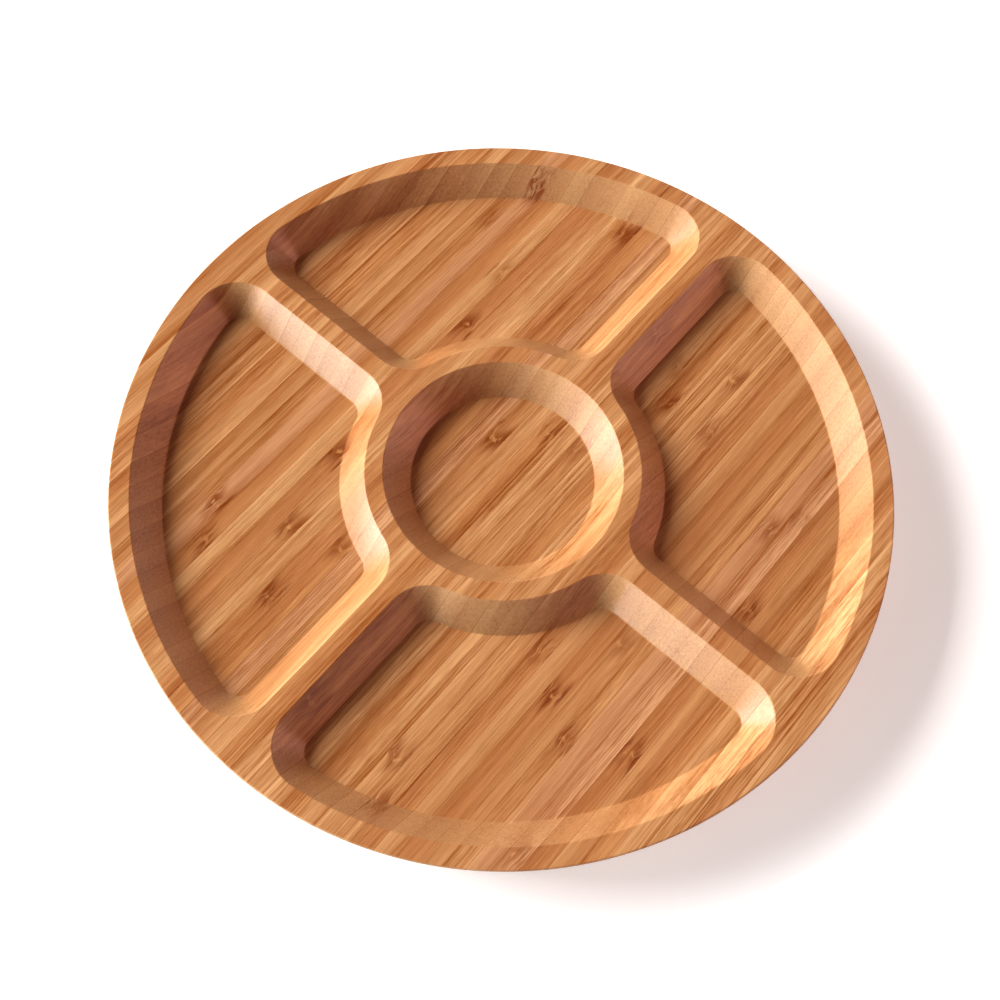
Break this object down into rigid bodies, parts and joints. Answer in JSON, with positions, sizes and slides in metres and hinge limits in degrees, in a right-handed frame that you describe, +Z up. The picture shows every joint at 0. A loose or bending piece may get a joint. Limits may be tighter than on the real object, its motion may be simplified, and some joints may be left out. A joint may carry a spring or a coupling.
{
  "type": "compartment serving tray",
  "caption": "Round bamboo serving tray glued up from laths on edge, with a round middle well, outer wells between ribs, sloping well walls and a plain rim.",
  "frame": {"origin": "centre of the flat underside, on the surface that the tray stands on", "axes": "+Z up through the middle of the round well; X along the grain, the laths and one pair of ribs; Y across the laths along the other ribs"},
  "size_m": [0.2, 0.2, 0.017],
  "materials": {
    "bamboo_russet": "satin oiled bamboo, russet tone",
    "bamboo_amber": "satin oiled bamboo, amber tone",
    "bamboo_honey": "satin oiled bamboo, honey tone",
    "bamboo_straw": "satin oiled bamboo, straw tone",
    "bamboo_pale": "satin oiled bamboo, pale tone",
    "bamboo_rose": "satin oiled bamboo, rose tone"
  },
  "bodies": {
    "root": {"slat_01": "bamboo_pale", "slat_02": "bamboo_honey", "slat_03": "bamboo_pale", "slat_04": "bamboo_straw", "slat_05": "bamboo_amber", "slat_06": "bamboo_honey", "slat_07": "bamboo_russet", "slat_08": "bamboo_rose", "slat_09": "bamboo_rose", "slat_10": "bamboo_honey", "slat_11": "bamboo_honey", "slat_12": "bamboo_russet", "slat_13": "bamboo_straw", "slat_14": "bamboo_russet", "slat_15": "bamboo_honey", "slat_16": "bamboo_straw", "slat_17": "bamboo_straw", "slat_18": "bamboo_amber", "slat_19": "bamboo_straw", "slat_20": "bamboo_honey", "slat_21": "bamboo_straw", "slat_22": "bamboo_amber", "slat_23": "bamboo_straw", "slat_24": "bamboo_honey", "slat_25": "bamboo_rose", "slat_26": "bamboo_amber", "slat_27": "bamboo_russet", "slat_28": "bamboo_pale", "slat_29": "bamboo_honey", "slat_30": "bamboo_russet", "slat_31": "bamboo_pale", "slat_32": "bamboo_amber", "slat_33": "bamboo_rose", "slat_34": "bamboo_honey", "slat_35": "bamboo_straw", "slat_36": "bamboo_straw", "slat_37": "bamboo_amber", "slat_38": "bamboo_honey", "slat_39": "bamboo_russet", "slat_40": "bamboo_straw", "slat_41": "bamboo_pale", "slat_42": "bamboo_straw", "slat_43": "bamboo_straw"}
  },
  "joints": []
}
